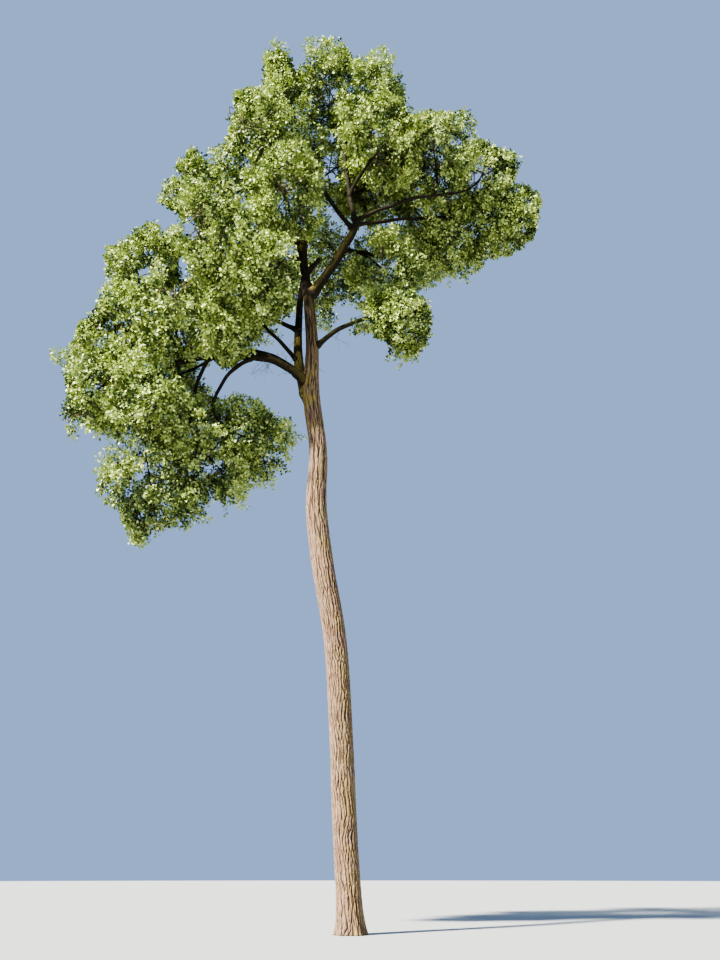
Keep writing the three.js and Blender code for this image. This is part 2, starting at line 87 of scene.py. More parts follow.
# Boughs. The foot is a height on the trunk, or a share of another bough's length. A heading is
# degrees in plan from +X towards +Y, and a rise is degrees above level. Along the bough the
# heading changes by turn and the rise drops by arch. Thick and thin are radii.
Bough = namedtuple("Bough", "name on foot heading turn rise arch length thick thin")
BOUGHS = [Bough(*row) for row in [
    ("stem_left", "trunk", 15.9, 140, -80, 63, -20, 6.5, 0.205, 0.090),
    ("arm_left", "trunk", 20.15, 180, -25, 80, -6, 2.4, 0.158, 0.150),
    ("arm_right", "trunk", 20.1, -8, 0, 52, -18, 3.65, 0.165, 0.128),
    ("stub_broken", "arm_left", 0.38, -20, 0, 46, 4, 0.8, 0.095, 0.080),
    ("crown_leader", "arm_right", 0.93, 150, -60, 78, -6, 5.2, 0.092, 0.045),
    ("crown_left", "arm_right", 0.86, 180, 10, 52, -26, 5.3, 0.086, 0.040),
    ("limb_right_upper", "arm_right", 0.97, -14, 8, 24, 24, 3.5, 0.078, 0.046),
    ("limb_right_lower", "arm_right", 0.92, 16, 4, 20, 2, 3.5, 0.074, 0.042),
    ("limb_right_low", "trunk", 17.95, -10, 0, 50, 48, 2.7, 0.098, 0.054),
    ("limb_left_lower", "trunk", 16.55, 188, 4, 56, 62, 2.5, 0.155, 0.108),
    ("limb_left_lower_outer", "limb_left_lower", 0.97, 186, 10, -4, 12, 2.5, 0.092, 0.056),
    ("limb_droop", "limb_left_lower", 0.9, 200, -30, -28, 58, 2.5, 0.072, 0.048),
    ("limb_fall", "limb_left_lower_outer", 0.55, 160, 0, -62, 30, 2.4, 0.066, 0.044),
    ("limb_left_drop", "limb_left_lower_outer", 0.8, 200, -6, -26, 16, 1.9, 0.064, 0.044),
    ("limb_left_upper", "stem_left", 0.2, 182, -6, 56, 54, 2.5, 0.135, 0.092),
    ("limb_left_upper_outer", "limb_left_upper", 0.96, 178, 4, 6, 12, 2.7, 0.084, 0.054),
    ("limb_left_high", "limb_left_upper_outer", 0.5, 172, 0, 44, -10, 2.3, 0.062, 0.042),
    ("limb_left_far", "limb_left_upper_outer", 0.95, 184, 0, -2, 16, 1.5, 0.050, 0.040),
    ("limb_front_low", "stem_left", 0.34, 215, 10, 40, 20, 2.1, 0.080, 0.046),
    ("limb_front", "arm_left", 0.62, 212, 6, 4, 22, 2.3, 0.084, 0.048),
    ("limb_knob", "arm_left", 0.88, 194, -8, 22, -14, 3.0, 0.086, 0.046),
    ("limb_riser", "arm_left", 0.93, 216, -10, 66, -4, 2.3, 0.088, 0.050),
    ("limb_back", "stem_left", 0.86, 72, 10, 40, 14, 2.5, 0.088, 0.052),
    ("limb_back_left", "stem_left", 0.6, 142, 8, 38, 8, 3.3, 0.090, 0.050),
    ("limb_back_right", "arm_right", 0.6, 62, -8, 34, 16, 2.9, 0.084, 0.048),
    ("limb_back_low", "limb_left_upper_outer", 0.25, 128, 26, 4, 14, 2.7, 0.066, 0.044),
]]
BOUGH_TURNS = 18
# A bough is crooked: its heading and rise wander this many degrees, in so many waves, the rise
# in more of them than the heading
CROOK = 7
CROOK_WAVES = 1.6
RISE_WAVES = 1.7

# Masses of foliage: the bough each grows from, and the middle and half-widths of its space
Mass = namedtuple("Mass", "name on along centre size")
MASSES = [Mass(*row) for row in [
    ("foliage_top", "crown_leader", 1, (-1.05, 0.25, 29.9), (1.35, 1.5, 2.2)),
    ("foliage_top_left", "crown_left", 1, (-2.85, 0.2, 29.95), (0.76, 1.05, 1.65)),
    ("foliage_top_right", "crown_leader", 0.8, (0.8, -0.5, 28.25), (1.35, 1.6, 1.6)),
    ("foliage_top_back", "crown_leader", 0.5, (-0.9, 2.1, 27.4), (1.8, 1.8, 1.85)),
    ("foliage_upper_left", "crown_left", 0.66, (-3.7, -0.5, 27.55), (1.25, 1.5, 1.3)),
    ("foliage_centre_high", "limb_riser", 1, (-3.15, -1.5, 25.2), (1.7, 2.0, 1.7)),
    ("foliage_centre_left", "limb_knob", 1, (-5.3, -0.5, 24.05), (1.6, 1.9, 1.7)),
    ("foliage_centre_front", "limb_riser", 0.55, (-2.3, -2.0, 23.0), (1.3, 1.7, 1.5)),
    ("foliage_centre_low", "limb_front", 1, (-4.4, -2.3, 20.95), (1.6, 2.0, 1.65)),
    ("foliage_front_low", "limb_front_low", 1, (-2.8, -2.2, 19.4), (1.1, 1.5, 1.25)),
    ("foliage_window", "limb_left_upper_outer", 0.12, (-4.2, -0.9, 18.15), (1.0, 1.3, 1.1)),
    ("foliage_right_inner", "crown_leader", 0.25, (1.25, -1.4, 25.85), (1.45, 1.8, 1.4)),
    ("foliage_right", "limb_right_upper", 0.8, (2.95, -0.9, 25.55), (1.4, 1.9, 1.6)),
    ("foliage_right_outer", "limb_right_upper", 1, (4.85, 0.3, 25.75), (1.45, 1.7, 1.6)),
    ("foliage_right_tip", "limb_right_lower", 1, (5.8, 0.5, 23.95), (1.2, 1.3, 1.1)),
    ("foliage_right_under", "limb_right_lower", 0.8, (3.9, 1.5, 23.7), (1.45, 1.6, 1.15)),
    ("foliage_right_low", "limb_right_low", 1, (1.5, -0.2, 19.05), (1.35, 1.4, 1.1)),
    ("foliage_right_back", "limb_back_right", 0.5, (1.25, 1.4, 22.1), (1.5, 1.45, 1.45)),
    ("foliage_right_mid", "crown_leader", 0.2, (0.8, 1.3, 26.0), (1.35, 1.2, 1.35)),
    ("foliage_left_high", "limb_left_high", 1, (-7.35, 0.5, 21.75), (1.5, 1.7, 1.45)),
    ("foliage_left_inner", "limb_left_upper_outer", 0.75, (-5.85, -1.5, 18.5), (1.4, 1.8, 1.45)),
    ("foliage_left_far", "limb_left_far", 1, (-8.25, 0.2, 18.95), (1.6, 1.8, 1.5)),
    ("foliage_left_tip", "limb_left_far", 0.7, (-8.6, 0, 16.4), (1.55, 1.6, 1.75)),
    ("foliage_left_drop", "limb_left_drop", 1, (-6.55, -0.9, 15.65), (1.5, 1.7, 1.5)),
    ("foliage_left_lowest", "limb_left_drop", 0.62, (-6.5, 0.1, 13.05), (1.6, 1.6, 1.75)),
    ("foliage_fall", "limb_fall", 1, (-4.85, 0.5, 14.35), (1.3, 1.5, 1.85)),
    ("foliage_droop", "limb_droop", 1, (-3.4, 0.7, 15.0), (1.15, 1.4, 1.3)),
    ("foliage_back", "limb_back", 1, (-1.0, 3.8, 23.7), (2.2, 2.1, 2.2)),
    ("foliage_back_left", "limb_back_left", 1, (-4.8, 3.5, 22.3), (2.05, 2.1, 1.95)),
    ("foliage_back_right", "limb_back_right", 1, (2.5, 3.4, 25.2), (2.0, 2.0, 1.8)),
    ("foliage_back_low", "limb_back_low", 1, (-6.9, 3.1, 17.9), (1.95, 1.95, 1.85)),
]]
CENTRES = np.array([mass.centre for mass in MASSES], float)
SIZES = np.array([mass.size for mass in MASSES], float)

# Stem of a mass, as in the source, and how it thins as it runs on towards the mass's edge. At
# its foot it is at most STEM_SHRINK as thick as its bough.
STEM_THICK = 0.076
STEM_SHRINK = 0.97
STEM_REACH = 0.5
STEM_BEND_TIP = 0.4
STEM_BEND_SIDE = 0.25
STEM_RUN = 0.86
STEM_TIP = 0.011
STEM_TAPER = 0.8
STEM_POINTS = 25
STEM_RUN_POINTS = 9

# Main twigs of a mass, as in the source, and the further ones between them
MAIN_TWIGS = 5
MAIN_FEET = (0.5, 0.94)
MAIN_REACH = (0.6, 0.8)
MORE_TWIGS = 9
MORE_PHASE = 2
MORE_FEET = (0.3, 1.0)
MORE_REACH = (0.5, 0.92)
TWIG_THICK = 0.024
TWIG_THIN = 0.009
TWIG_LIFT = 0.12
GOLDEN_TURN = math.pi * (3 - math.sqrt(5))
# The source's seed for a mass's main twigs
MASS_SEED = 17
MASS_SEED_STEP = 7919

# Side twigs on each twig, and leafy shoots on each side twig
SIDE_TWIGS = 8
SIDE_START = 0.3
SIDE_SPREAD = math.radians(56)
SIDE_LENGTH = 0.72
SIDE_THICK = 0.0095
SHOOTS = 7
SHOOT_START = 0.25
SHOOT_SPREAD = math.radians(48)
SHOOT_LENGTH = 0.42
SHOOT_THICK = 0.005
SHOOT_TIP = 0.002
SHOOT_SAG = 0.1
# Angles and lengths vary by these shares. The last twig of each runs nearly straight on. All
# turn a little outwards in their mass, and a little at random.
TWIG_ANGLES = (0.7, 1.2)
TWIG_LENGTHS = (0.65, 1.2)
LAST_ANGLE = 0.3
TWIG_OUTWARD = 0.35
TWIG_STRAY = 0.12
# A side twig is left out where it is this much deeper in another mass's space than in its own
SHARED_DEPTH = 0.16

# The crown's outline: a mass's pull falls with the square of how far out a point is, so near
# masses run together, and lumps of two sizes swell it or cut into it
PULL_FALL = 1.25
LUMP_SIZE = 0.85
LUMP_HEIGHT = 2.2
WIDER_LUMPS = 2.1
WIDER_SHIFT = 7
# Pull at which a twig's tip is held in, and at which a stray one is. The tip is drawn back
# towards its mass's middle, but keeps at least this share of its way out.
HELD_AT = 1.1
STRAY_SHARE = 0.18
STRAY_HELD_AT = 0.4
HOLD_STEPS = 8
LEAST_KEPT = 0.25
# Twigs are held in this close to the faces of the solids' box
BOX_LOW, BOX_HIGH = (np.array(corner) for corner in cad_box)
BOX_MARGIN = 0.12
# Where the crown is open: middle and half-widths of each space. Its X and Z are where the eye
# sees it on the plane y = 0, and its Y is its own. It fades out between these shares of its
# half-widths.
OPEN_PULL = 6
OPEN_EDGE = (1.2, 0.8)
OPENINGS = [
    ((-2.88, -0.3, 17.06), (1.25, 3.0, 0.85)),
    ((-0.72, -0.6, 17.94), (0.75, 3.0, 1.1)),
    ((-6.0, 0.0, 21.4), (0.35, 4.0, 0.65)),
    ((-6.3, 0.0, 20.3), (0.3, 4.0, 0.45)),
    ((-5.75, 0.0, 22.9), (0.3, 4.0, 0.9)),
    ((-2.33, 0.2, 31.09), (0.28, 2.5, 1.0)),
    ((-3.94, 0.1, 30.6), (0.5, 2.5, 1.0)),
    ((-4.85, -0.3, 27.17), (0.45, 2.5, 0.6)),
    ((-7.18, -0.3, 23.68), (0.9, 3.0, 0.45)),
    ((-0.85, -0.5, 27.04), (0.28, 3.0, 0.5)),
    ((2.29, -0.5, 28.57), (0.6, 2.5, 0.6)),
    ((-4.75, -0.3, 16.86), (1.2, 3.0, 0.55)),
    ((0.7, -0.2, 18.22), (0.6, 2.5, 0.6)),
    ((2.92, -0.2, 19.83), (0.45, 2.5, 0.45)),
    ((-1.63, -2.0, 19.99), (0.6, 1.7, 0.85)),
]
# Open sky just beside the crown, as seen on that same plane: middle and half-widths, X and Z
BESIDE_CROWN = [
    ((-5.5, 28.3), (1.05, 1.58)),
    ((-4.2, 30.2), (0.87, 0.89)),
    ((-1.0, 32.8), (1.59, 0.64)),
    ((3.5, 29.2), (1.15, 0.87)),
    ((5.7, 27.7), (1.04, 1.25)),
    ((6.7, 25.9), (0.78, 1.27)),
    ((-9.0, 23.2), (1.35, 0.92)),
    ((-9.4, 21.3), (0.67, 1.26)),
    ((-9.6, 19.8), (0.9, 0.73)),
    ((-10.1, 18.8), (0.72, 0.67)),
    ((-10.0, 15.8), (0.7, 1.5)),
    ((-9.6, 14.3), (0.55, 0.75)),
    ((-8.8, 12.9), (0.62, 1.0)),
    ((-8.0, 11.4), (0.91, 1.0)),
    ((-6.8, 10.4), (0.96, 0.68)),
]
# Where twigs fill the crown between two masses: middle and half-widths
FILL_PULL = 2.5
FILL_EDGE = (1.2, 0.6)
FILLINGS = [
    ((-8.1, -0.3, 14.3), (1.0, 1.6, 1.0)),
    ((-2.9, 0.7, 13.5), (0.9, 1.2, 0.6)),
    ((-2.2, 0.7, 14.7), (0.8, 1.3, 1.0)),
]
# Limbs that leaves keep BARE_REACH away from, measured at one in BARE_STEP of their points
BARE_LIMBS = ("trunk", "arm_left", "arm_right", "limb_left_lower", "limb_left_upper")
BARE_REACH = 0.42
BARE_STEP = 4
# Shoots this deep inside a mass are mostly bare
BARE_DEPTH = 0.42
BARE_SHARE = 0.65

# Bare twigs that hang from the great limbs: how many on each, and from where along it
BARE_TWIGS = {
    "trunk": (6, 0.84),
    "stem_left": (7, 0.15),
    "limb_left_lower": (14, 0.4),
    "limb_left_upper": (9, 0.3),
    "limb_right_low": (6, 0.2),
    "arm_right": (6, 0.3),
}
BARE_LENGTH = (0.4, 1.1)
BARE_THICK = 0.008
BARE_TAPER = 0.3
BARE_AHEAD = 0.5
BARE_BEND = 0.6
BARE_SAG = 0.45
# Their forks: from where along the twig, how wide, and how long and thick beside the twig
BARE_FORKS = (0.35, 0.6, 0.85)
FORK_SPREAD = 0.9
FORK_REST = 1.1
FORK_LENGTH = 0.7
FORK_THICK = 0.6

# Leaves of a shoot: how many, from where along it, and how their length varies, by luck and
# towards the shoot's tip
LEAVES = 12
LEAVES_FROM = 0.12
LEAF_LENGTH = 0.112
LEAF_SIZES = (0.72, 1.18)
LEAF_SHRINK = (1.05, 0.85)
# A leaf is a sliver of stalk and a deltoid blade of two faces, folded up from its midrib. These
# are shares of the blade's length.
STALK = 0.5
STALK_WIDTH = 0.05
LEAF_WIDTH = 0.98
LEAF_SHOULDER = 0.3
LEAF_LIFT = 0.13
LEAF_FACES = [(0, 2, 1), (1, 4, 5), (1, 5, 3)]
# How a leaf points, ahead and aside from its shoot and down, and how its face turns, outwards
# and up, each with some luck
LEAF_AHEAD = 0.6
LEAF_ASIDE = 0.8
LEAF_NOD = 0.25
LEAF_STRAY = 0.25
FACE_OUTWARD = 0.5
FACE_UPWARD = 0.55
FACE_STRAY = 0.8
LEAVES_A_PIECE = 60000

SEED = 20


def mix(low, high, share):
    return low + (high - low) * share


def unit(ways):
    return ways / np.maximum(np.linalg.norm(ways, axis=-1, keepdims=True), 1e-9)


def smooth(low, high, values):
    """A soft step from 0 at low to 1 at high"""
    share = np.clip((values - low) / (high - low), 0, 1)
    return share * share * (3 - 2 * share)


def direction(heading, rise):
    turn = math.radians(heading)
    tilt = math.radians(rise)
    return np.array([
        math.cos(turn) * math.cos(tilt),
        math.sin(turn) * math.cos(tilt),
        math.sin(tilt),
    ])


def seeded(seed):
    """The source's own repeatable stream of numbers from 0 to 1"""
    state = seed
    while True:
        state = (state * 1664525 + 1013904223) % 4294967296
        yield state / 4294967296


# A table of random directions, from which smooth noise is made
NOISE_CELLS = 64
NOISE_WAYS = unit(np.random.default_rng(SEED).normal(size=(NOISE_CELLS,) * 3 + (3,)))


def noise(points):
    """Smooth noise, about -0.7 to 0.7, that changes over a length of 1"""
    cell = np.floor(points).astype(int)
    inside = points - cell
    fade = inside ** 3 * (inside * (inside * 6 - 15) + 10)
    total = np.zeros(points.shape[:-1])
    for corner in itertools.product((0, 1), repeat=3):
        x, y, z = np.moveaxis((cell + corner) % NOISE_CELLS, -1, 0)
        weight = np.prod(np.where(corner, fade, 1 - fade), axis=-1)
        total += weight * np.sum(NOISE_WAYS[x, y, z] * (inside - corner), axis=-1)
    return total


# Steps along each piece of a smooth curve
CURVE_STEPS = 8


def spline(points):
    """Points close together along the smooth curve through the given ones"""
    points = np.asarray(points, float)
    before = 2 * points[0] - points[1]
    after = 2 * points[-1] - points[-2]
    knots = np.concatenate([[before], points, [after]])
    t = np.linspace(0, 1, CURVE_STEPS, endpoint=False)[:, None]
    runs = []
    for a, b, c, d in zip(knots, knots[1:], knots[2:], knots[3:]):
        line = 2 * b + (c - a) * t
        bow = (2 * a - 5 * b + 4 * c - d) * t ** 2 + (3 * b - a - 3 * c + d) * t ** 3
        runs.append((line + bow) / 2)
    return np.concatenate(runs + [points[-1:]])


def bezier(foot, bend, tip, share):
    """Points on a curve that leaves foot towards bend and arrives at tip"""
    return foot * (1 - share) ** 2 + 2 * bend * share * (1 - share) + tip * share ** 2


class Limb:
    """A curved axis, kept as points along it, with a radius at each"""

    def __init__(self, points, radii):
        steps = np.linalg.norm(np.diff(points, axis=0), axis=1)
        travel = np.concatenate([[0], np.cumsum(steps)])
        self.points = points
        self.radii = radii
        self.length = travel[-1]
        self.shares = travel / travel[-1]

    def at(self, share):
        return np.stack([np.interp(share, self.shares, axis) for axis in self.points.T], axis=-1)

    def ahead(self, share):
        step = 0.5 / (len(self.points) - 1)
        return unit(self.at(np.minimum(share + step, 1)) - self.at(np.maximum(share - step, 0)))

    def radius(self, share):
        return np.interp(share, self.shares, self.radii)


def trunk_limb():
    line = spline(TRUNK)
    return Limb(line[:, :3], line[:, 3])


def bough_limb(bough, index, limbs):
    """A crooked axis that turns and arches steadily, as in the source"""
    parent = limbs[bough.on]
    along = bough.foot
    if bough.on == "trunk":
        along = np.interp(bough.foot, parent.points[:, 2], parent.shares)
    points = [parent.at(along)]
    for i in range(BOUGH_TURNS):
        share = (i + 0.5) / BOUGH_TURNS
        wave = 2 * math.pi * (CROOK_WAVES * share) + index
        heading = bough.heading + bough.turn * share + CROOK * share * math.sin(wave)
        rise = bough.rise - bough.arch * share + CROOK * share * math.cos(RISE_WAVES * wave)
        points.append(points[-1] + direction(heading, rise) * (bough.length / BOUGH_TURNS))
    line = spline(points)
    return Limb(line, np.linspace(bough.thick, bough.thin, len(line)))


def stem_limb(mass, limbs):
    """The stem inside a mass: the source's curve past the middle, then on towards the edge"""
    parent = limbs[mass.on]
    centre = np.array(mass.centre, float)
    size = np.array(mass.size, float)
    foot = parent.at(mass.along)
    early = STEM_BEND_TIP if mass.along == 1 else STEM_BEND_SIDE
    bend = foot + parent.ahead(mass.along) * np.linalg.norm(centre - foot) * early
    way = unit(centre - bend)
    reach = 1 / np.linalg.norm(way / size)
    share = np.linspace(0, 1, STEM_POINTS)[:, None]
    first = bezier(foot, bend, centre + way * reach * STEM_REACH, share)
    run = np.linspace(STEM_REACH, STEM_RUN, STEM_RUN_POINTS)[1:, None]
    line = np.concatenate([first, centre + way * reach * run])
    thick = min(parent.radius(mass.along) * STEM_SHRINK, STEM_THICK)
    limb = Limb(line, np.zeros(len(line)))
    limb.radii = mix(thick, STEM_TIP, limb.shares ** STEM_TAPER)
    limb.source_share = limb.shares[len(first) - 1]
    return limb


class Twigs:
    """Many bent twigs at once, with the mass that each is in and how far out it may reach"""

    def __init__(self, foot, bend, tip, thick, thin, mass, limit, spray):
        self.rows = (foot, bend, tip, thick, thin, mass, limit, spray)
        self.foot, self.bend, self.tip = foot, bend, tip
        self.thick, self.thin = thick, thin
        self.mass, self.limit, self.spray = mass, limit, spray

    def __len__(self):
        return len(self.foot)

    def picked(self, which):
        return Twigs(*(row[which] for row in self.rows))

    def at(self, share):
        return bezier(self.foot, self.bend, self.tip, share[:, None])

    def ahead(self, share):
        share = share[:, None]
        return unit((self.bend - self.foot) * (1 - share) + (self.tip - self.bend) * share)


def depth_in(points, mass):
    """How far out a point is in its mass's space, from 0 in the middle to 1 at the edge"""
    return np.linalg.norm((points - CENTRES[mass]) / SIZES[mass], axis=-1)


def seen(points):
    """Points moved along their line from the eye on to the plane y = 0, with their own y kept"""
    near = AWAY / (AWAY + points[:, 1])
    across = BESIDE + (points[:, 0] - BESIDE) * near
    up = EYE + (points[:, 2] - EYE) * near
    return np.stack([across, points[:, 1], up], axis=-1)


def crown_at(points):
    """1 or more inside the crown, less outside it: the pulls of all masses, made lumpy"""
    pull = np.zeros(len(points))
    for centre, size in zip(CENTRES, SIZES):
        pull += np.exp(PULL_FALL * (1 - np.sum(((points - centre) / size) ** 2, axis=-1)))
    places = seen(points)
    upright = places[:, ::2]
    for centre, size in OPENINGS:
        pull -= OPEN_PULL * smooth(*OPEN_EDGE, np.linalg.norm((places - centre) / size, axis=-1))
    for centre, size in BESIDE_CROWN:
        pull -= OPEN_PULL * smooth(*OPEN_EDGE, np.linalg.norm((upright - centre) / size, axis=-1))
    for centre, size in FILLINGS:
        pull += FILL_PULL * smooth(*FILL_EDGE, np.linalg.norm((points - centre) / size, axis=-1))
    outside = np.maximum(BOX_LOW - points, points - BOX_HIGH).max(axis=-1) + BOX_MARGIN
    lumps = noise(points / LUMP_SIZE) + noise(points / (WIDER_LUMPS * LUMP_SIZE) + WIDER_SHIFT)
    return pull + LUMP_HEIGHT * lumps - OPEN_PULL * smooth(0, BOX_MARGIN, outside)


def held_in(points, mass, limit):
    """Points drawn back towards their mass's middle where they would leave the crown"""
    inner, outer = np.zeros(len(points)), np.ones(len(points))
    middle = CENTRES[mass]
    free = crown_at(points) >= limit
    for _ in range(HOLD_STEPS):
        share = (inner + outer) / 2
        within = crown_at(middle + (points - middle) * share[:, None]) >= limit
        inner = np.where(within, share, inner)
        outer = np.where(within, outer, share)
    share = np.where(free, 1, np.maximum(inner, LEAST_KEPT))
    return middle + (points - middle) * share[:, None]


def sphere_ways(count, phase):
    """Directions spread evenly over a sphere"""
    k = np.arange(count)
    level = 1 - 2 * (k + 0.5) / count
    turn = k * GOLDEN_TURN + phase
    flat = np.sqrt(1 - level ** 2)
    return np.stack([flat * np.cos(turn), flat * np.sin(turn), level], axis=-1)


def first_twigs(stems, rng):
    """The main twigs of every mass, placed as in the source, and further ones between them"""
    rows = []
    for index, stem in enumerate(stems):
        ahead = stem.ahead(stem.source_share)
        draw = seeded(index * MASS_SEED_STEP + MASS_SEED)
        kinds = [
            (MAIN_TWIGS, index, MAIN_FEET, MAIN_REACH),
            (MORE_TWIGS, index + MORE_PHASE, MORE_FEET, MORE_REACH),
        ]
        for count, phase, feet, reaches in kinds:
            ways = sphere_ways(count, phase)
            ways = ways[np.argsort(ways @ ahead, kind="stable")]
            for rank, way in enumerate(ways):
                reach = mix(*reaches, next(draw))
                tip = CENTRES[index] + way * SIZES[index] * reach
                along = mix(*feet, rank / (count - 1))
                foot = stem.at(along * (stem.source_share if feet is MAIN_FEET else 1))
                bend = mix(foot, tip, 0.5) + ahead * np.linalg.norm(tip - foot) * TWIG_LIFT
                limit = STRAY_HELD_AT if rng.random() < STRAY_SHARE else HELD_AT
                rows.append((foot, bend, tip, TWIG_THICK, TWIG_THIN, index, limit, 0))
    twigs = Twigs(*(np.array(column) for column in zip(*rows)))
    twigs.tip[:] = held_in(twigs.tip, twigs.mass, twigs.limit)
    return twigs


# Turns round a twig are counted from square to this direction
TURN_GUIDE = np.array([0.31, 0.17, 0.94])


def side_ways(ahead, turn):
    """A direction square to ahead, turned round it"""
    first = unit(np.cross(ahead, TURN_GUIDE))
    second = np.cross(ahead, first)
    return first * np.cos(turn)[:, None] + second * np.sin(turn)[:, None]


def side_twigs(parents, count, start, spread, length, thick, thin, sag, rng):
    """Twigs round each parent, each turned by the golden angle from the one before"""
    owner = np.repeat(np.arange(len(parents)), count)
    rank = np.tile(np.arange(count), len(parents))
    parent = parents.picked(owner)
    total = len(owner)
    last = rank == count - 1
    share = np.where(last, 1, mix(start, 1, (rank + rng.random(total)) / count))
    foot = parent.at(share)
    ahead = parent.ahead(share)
    side = side_ways(ahead, rank * GOLDEN_TURN + rng.random(len(parents))[owner] * 2 * math.pi)
    angle = spread * np.where(last, LAST_ANGLE, 1) * rng.uniform(*TWIG_ANGLES, total)
    out = unit(foot - CENTRES[parent.mass])
    way = unit(
        ahead * np.cos(angle)[:, None]
        + side * np.sin(angle)[:, None]
        + out * TWIG_OUTWARD
        + rng.normal(0, TWIG_STRAY, (total, 3))
    )
    reach = length * rng.uniform(*TWIG_LENGTHS, total)
    tip = foot + way * reach[:, None]
    bend = mix(foot, tip, 0.5) + ahead * (reach * TWIG_LIFT)[:, None]
    tip[:, 2] -= sag * reach
    tip = held_in(tip, parent.mass, parent.limit)
    spray = np.arange(total) if sag == 0 else parent.spray
    widths = (np.full(total, thick), np.full(total, thin))
    return Twigs(foot, bend, tip, *widths, parent.mass, parent.limit, spray)


def in_own_space(twigs):
    """Which twigs end nearer to their own mass's middle than to another's"""
    own = depth_in(twigs.tip, twigs.mass)
    others = np.stack([depth_in(twigs.tip, i) for i in range(len(MASSES))], axis=-1)
    return own <= others.min(axis=-1) + SHARED_DEPTH


def leafy(shoots, limbs, rng):
    """Which shoots carry leaves: few deep inside a mass, and none close to the great limbs"""
    deep = depth_in(shoots.tip, shoots.mass) < BARE_DEPTH
    kept = ~(deep & (rng.random(len(shoots)) < BARE_SHARE))
    for name in BARE_LIMBS:
        limb = limbs[name]
        for point, radius in zip(limb.points[::BARE_STEP], limb.radii[::BARE_STEP]):
            kept &= np.linalg.norm(shoots.tip - point, axis=-1) > radius + BARE_REACH
    return kept


def bare_twigs(limbs, rng):
    """Thin leafless twigs of the great limbs, each with a few forks, bent down by their weight"""
    rows = []

    def grow(foot, way, length, thick):
        tip = foot + way * length - (0, 0, BARE_SAG * length)
        bend = foot + way * length * BARE_BEND
        rows.append((foot, bend, tip, thick, thick * BARE_TAPER, 0, 1, 0))
        return rows[-1][:3]

    for name, (count, start) in BARE_TWIGS.items():
        limb = limbs[name]
        for i in range(count):
            share = mix(start, 1, (i + rng.random()) / count)
            way = unit(unit(rng.normal(size=3)) + BARE_AHEAD * limb.ahead(share))
            length = rng.uniform(*BARE_LENGTH)
            twig = grow(limb.at(share), way, length, BARE_THICK)
            for fork in BARE_FORKS:
                side = unit(way + FORK_SPREAD * unit(rng.normal(size=3)))
                left = length * (FORK_REST - fork) * FORK_LENGTH
                grow(bezier(*twig, fork), side, left, BARE_THICK * FORK_THICK)
    return Twigs(*(np.array(column) for column in zip(*rows)))


def twig_shape(twigs, segments, sides):
    """Points and faces of slender cones, bent along their twigs"""
    count = len(twigs)
    turns = np.arange(sides) * 2 * math.pi / sides
    rings = []
    for i in range(segments):
        share = np.full(count, i / segments)
        middle = twigs.at(share)
        ahead = twigs.ahead(share)
        radius = mix(twigs.thick, twigs.thin, i / segments)
        for turn in turns:
            rings.append(middle + side_ways(ahead, np.full(count, turn)) * radius[:, None])
    points = np.stack(rings + [twigs.tip], axis=1)
    faces = []
    for i in range(segments - 1):
        for a in range(sides):
            b = (a + 1) % sides
            low, high = i * sides, (i + 1) * sides
            faces += [(low + a, low + b, high + b), (low + a, high + b, high + a)]
    top = (segments - 1) * sides
    faces += [(top + a, top + (a + 1) % sides, segments * sides) for a in range(sides)]
    return spread_out(points, faces)


def spread_out(points, faces):
    """One list of points and faces, from equal small shapes"""
    count, each = points.shape[:2]
    faces = np.array(faces) + (np.arange(count) * each)[:, None, None]
    return points.reshape(-1, 3), faces.reshape(-1, 3)


def joined(shapes):
    """One list of points and faces, from those of many shapes"""
    starts = np.cumsum([0] + [len(points) for points, _ in shapes[:-1]])
    points = np.concatenate([points for points, _ in shapes])
    faces = np.concatenate([faces + start for start, (_, faces) in zip(starts, shapes)])
    return points, faces


def leaf_points(shoots, rng):
    """The six points of each leaf, round its shoot and nodding a little"""
    owner = np.repeat(np.arange(len(shoots)), LEAVES)
    rank = np.tile(np.arange(LEAVES), len(shoots))
    shoot = shoots.picked(owner)
    total = len(owner)
    share = mix(LEAVES_FROM, 1.0, rank / (LEAVES - 1))
    base = shoot.at(share)
    ahead = shoot.ahead(share)
    side = side_ways(ahead, rank * GOLDEN_TURN + rng.random(len(shoots))[owner] * 2 * math.pi)
    along = ahead * LEAF_AHEAD + side * LEAF_ASIDE + rng.normal(0, LEAF_STRAY, (total, 3))
    along[:, 2] -= LEAF_NOD
    along = unit(along)
    facing = unit(base - CENTRES[shoot.mass]) * FACE_OUTWARD
    facing = facing + rng.normal(0, FACE_STRAY, (total, 3))
    facing[:, 2] += FACE_UPWARD
    across = unit(np.cross(along, facing))
    out = np.cross(across, along)
    length = LEAF_LENGTH * rng.uniform(*LEAF_SIZES, total) * mix(*LEAF_SHRINK, share)
    corners = [
        (0, 0, 0),
        (0, STALK, 0),
        (STALK_WIDTH, STALK, 0),
        (-LEAF_WIDTH / 2, STALK + LEAF_SHOULDER, LEAF_LIFT),
        (LEAF_WIDTH / 2, STALK + LEAF_SHOULDER, LEAF_LIFT),
        (0, STALK + 1, 0),
    ]
    points = []
    for x, y, z in corners:
        points.append(base + (across * x + along * y + out * z) * length[:, None])
    return np.stack(points, axis=1), owner


def add_object(name, data):
    made = bpy.data.objects.new(name, data)
    bpy.context.scene.collection.objects.link(made)
    return made


